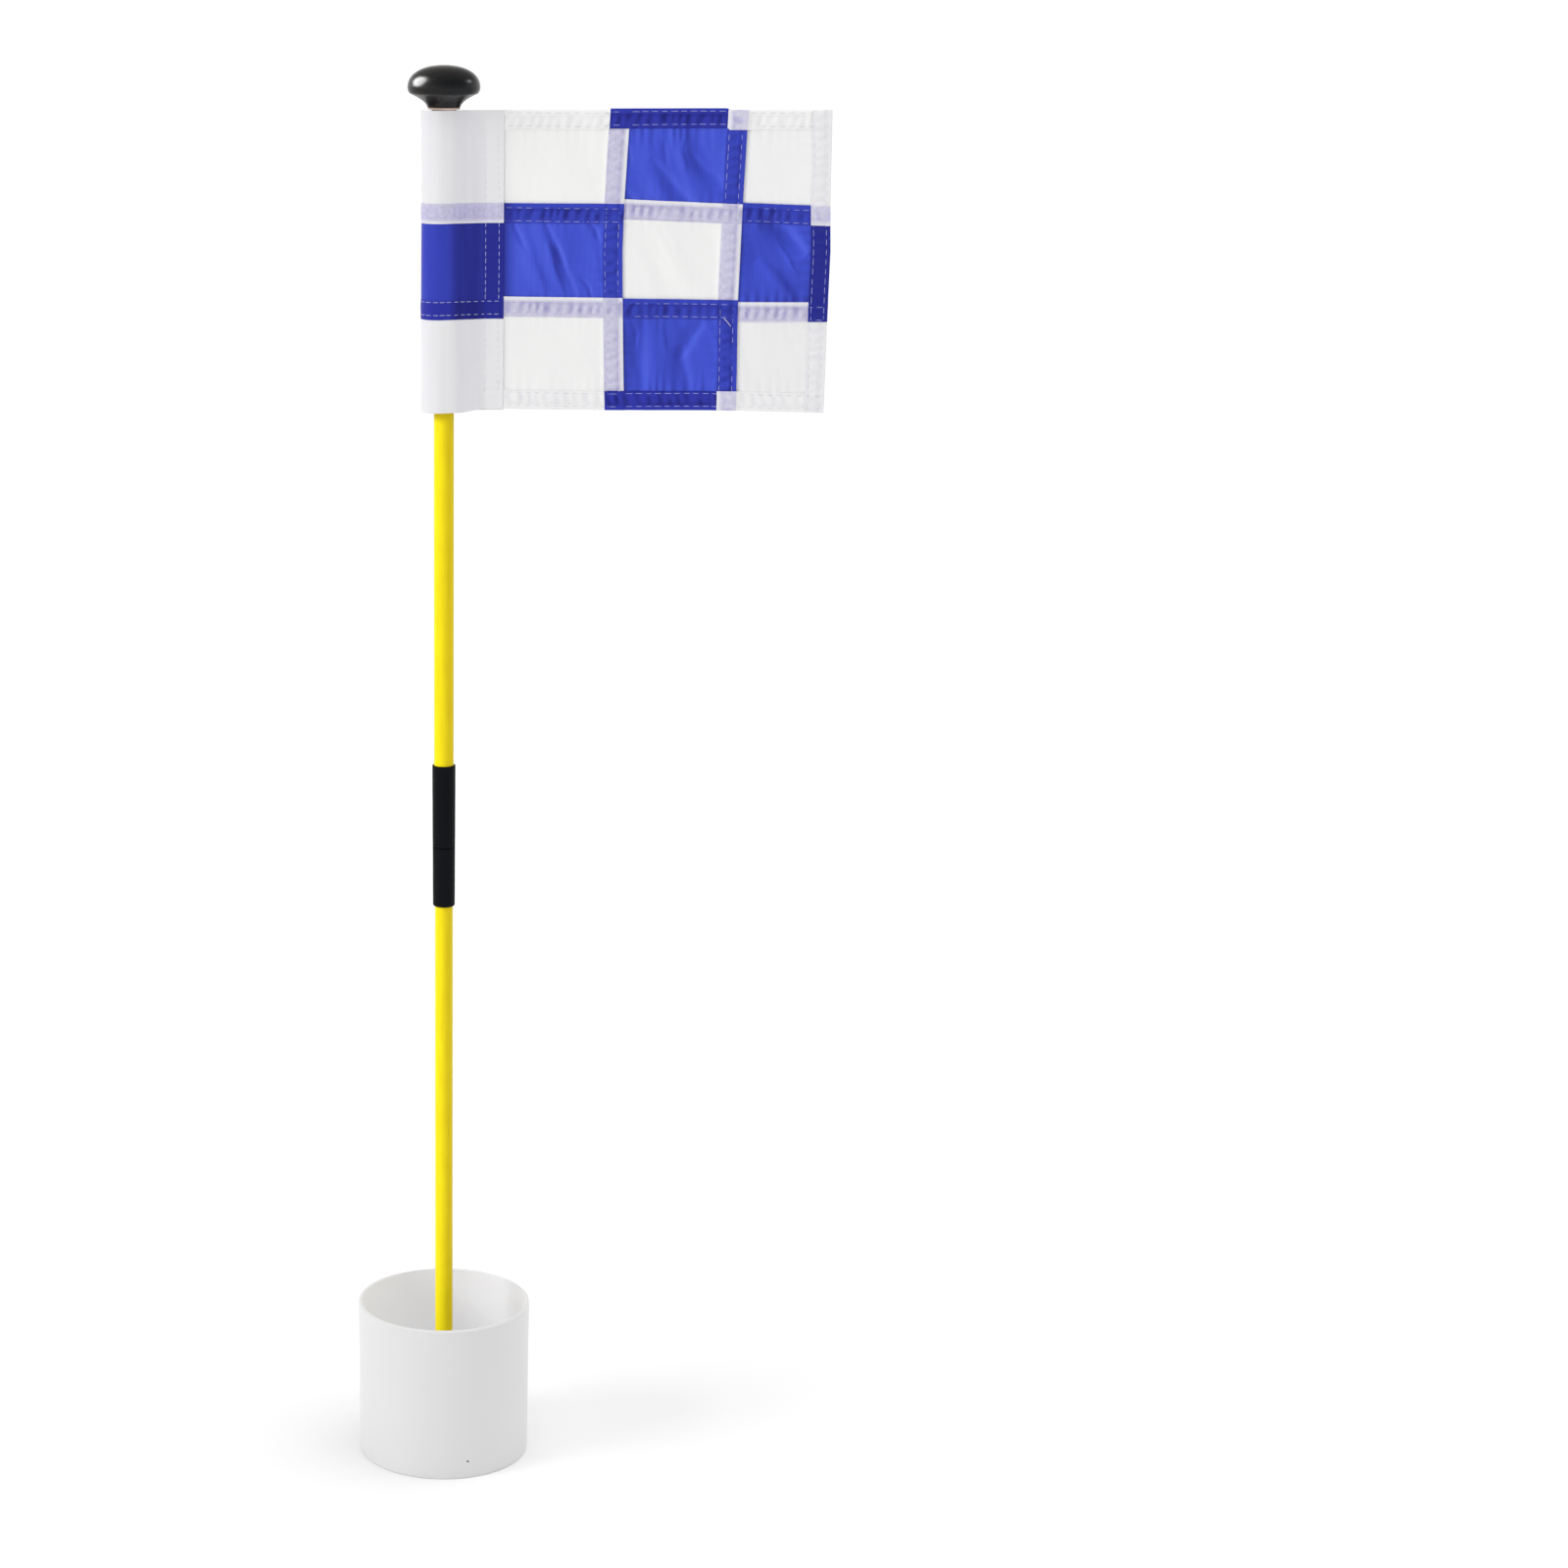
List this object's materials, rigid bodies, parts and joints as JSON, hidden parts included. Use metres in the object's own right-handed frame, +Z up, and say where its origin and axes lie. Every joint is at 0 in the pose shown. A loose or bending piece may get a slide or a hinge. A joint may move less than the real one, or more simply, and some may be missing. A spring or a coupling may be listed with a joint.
{
  "type": "golf flagstick",
  "caption": "Two-piece practice golf flagstick: white cup, yellow rod with a screwed joint under a black sleeve, chequered blue and white flag, black screw-on knob.",
  "frame": {"origin": "centre of the cup's underside, on the rod's axis", "axes": "+Z up along the rod, +X the way the flag flies, -Y the side the picture shows"},
  "size_m": [0.2807, 0.108, 0.8655],
  "materials": {
    "white_plastic": "satin moulded",
    "yellow_rod": "smooth coated fibreglass",
    "black_sleeve": "satin rubber",
    "black_tip": "moulded",
    "seal_rubber": "smooth",
    "brass": "turned",
    "steel": "zinc plated",
    "natural_plastic": "translucent natural",
    "tan_fibre": "pressed fibre",
    "black_gloss": "polished",
    "flag_white": "woven nylon",
    "flag_blue": "woven nylon"
  },
  "bodies": {
    "cup": {"cup": "white_plastic"},
    "lower_section": {"rod_tip": "black_tip", "lower_rod": "yellow_rod", "joint_stud": "brass", "joint_sleeve_lower": "black_sleeve"},
    "joint_seal": {"joint_seal": "seal_rubber"},
    "upper_section": {"joint_socket": "brass", "upper_rod": "yellow_rod", "joint_sleeve_upper": "black_sleeve", "top_insert": "brass"},
    "flag": {"flag_tube": "natural_plastic", "flag_sleeve_top": "flag_white", "flag_sleeve_middle": "flag_blue", "flag_sleeve_bottom": "flag_white", "flag_patch_top_1": "flag_white", "flag_patch_top_2": "flag_blue", "flag_patch_top_3": "flag_white", "flag_patch_middle_1": "flag_blue", "flag_patch_middle_2": "flag_white", "flag_patch_middle_3": "flag_blue", "flag_patch_bottom_1": "flag_white", "flag_patch_bottom_2": "flag_blue", "flag_patch_bottom_3": "flag_white"},
    "knob_washer": {"knob_washer": "tan_fibre"},
    "knob": {"knob": "black_gloss", "knob_stud": "steel"}
  },
  "joints": [
    {"name": "lift_out", "type": "slide", "parent": "cup", "child": "lower_section", "axis": [0, 0, 1], "range_m": [0, 0.12]},
    {"name": "section_rise", "type": "slide", "parent": "lower_section", "child": "joint_seal", "axis": [0, 0, 1], "range_m": [0, 0.0165]},
    {"name": "section_unscrew", "type": "hinge", "parent": "joint_seal", "child": "upper_section", "pos_m": [0, 0, 0.3952], "axis": [0, 0, 1], "range_deg": [0, 5670]},
    {"name": "flag_swing", "type": "hinge", "parent": "upper_section", "child": "flag", "pos_m": [0, 0, 0.75], "axis": [0, 0, 1], "continuous": true},
    {"name": "knob_rise", "type": "slide", "parent": "upper_section", "child": "knob_washer", "axis": [0, 0, 1], "range_m": [0, 0.01]},
    {"name": "knob_unscrew", "type": "hinge", "parent": "knob_washer", "child": "knob", "pos_m": [0, 0, 0.8413], "axis": [0, 0, 1], "range_deg": [0, 3510]}
  ],
  "couplings": [
    {"joint": "section_rise", "follows": "section_unscrew", "m_per_rad": 0.00015915},
    {"joint": "knob_rise", "follows": "knob_unscrew", "m_per_rad": 0.00015915}
  ]
}
